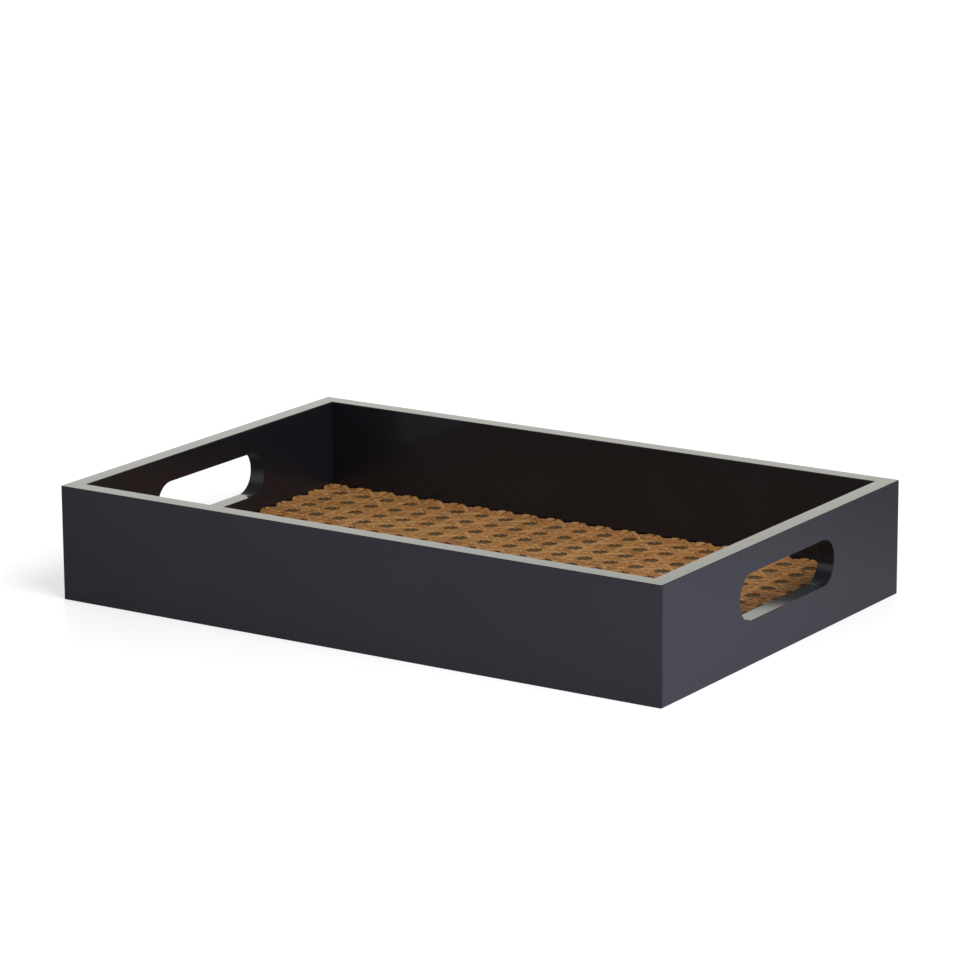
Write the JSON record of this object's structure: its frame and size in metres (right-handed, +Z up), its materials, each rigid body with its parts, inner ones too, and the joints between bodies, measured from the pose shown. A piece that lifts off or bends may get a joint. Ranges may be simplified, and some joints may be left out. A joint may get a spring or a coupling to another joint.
{
  "type": "rattan tray",
  "caption": "Low rectangular serving tray of black lacquered boards with a hand hole in each short end and a floor of open cane webbing on a dark base board.",
  "frame": {"origin": "under the middle of the tray, on the surface that the boards' bottom edges stand on", "axes": "+X along the long boards, +Y towards the back long board, +Z up out of the tray"},
  "size_m": [0.38, 0.252, 0.064],
  "materials": {
    "black_lacquer": "black satin lacquer over fibreboard",
    "base_board": "dark matte stained board",
    "cane": "warm brown split cane, satin skin",
    "brad_steel": "bright drawn wire"
  },
  "bodies": {
    "root": {"front_wall": "black_lacquer", "back_wall": "black_lacquer", "left_end_wall": "black_lacquer", "right_end_wall": "black_lacquer", "base_board": "base_board", "cane_webbing": "cane", "front_wall_brad_1": "brad_steel", "front_wall_brad_2": "brad_steel", "front_wall_brad_3": "brad_steel", "front_wall_brad_4": "brad_steel", "back_wall_brad_1": "brad_steel", "back_wall_brad_2": "brad_steel", "back_wall_brad_3": "brad_steel", "back_wall_brad_4": "brad_steel", "left_end_wall_brad_1": "brad_steel", "left_end_wall_brad_2": "brad_steel", "right_end_wall_brad_1": "brad_steel", "right_end_wall_brad_2": "brad_steel"}
  },
  "joints": []
}
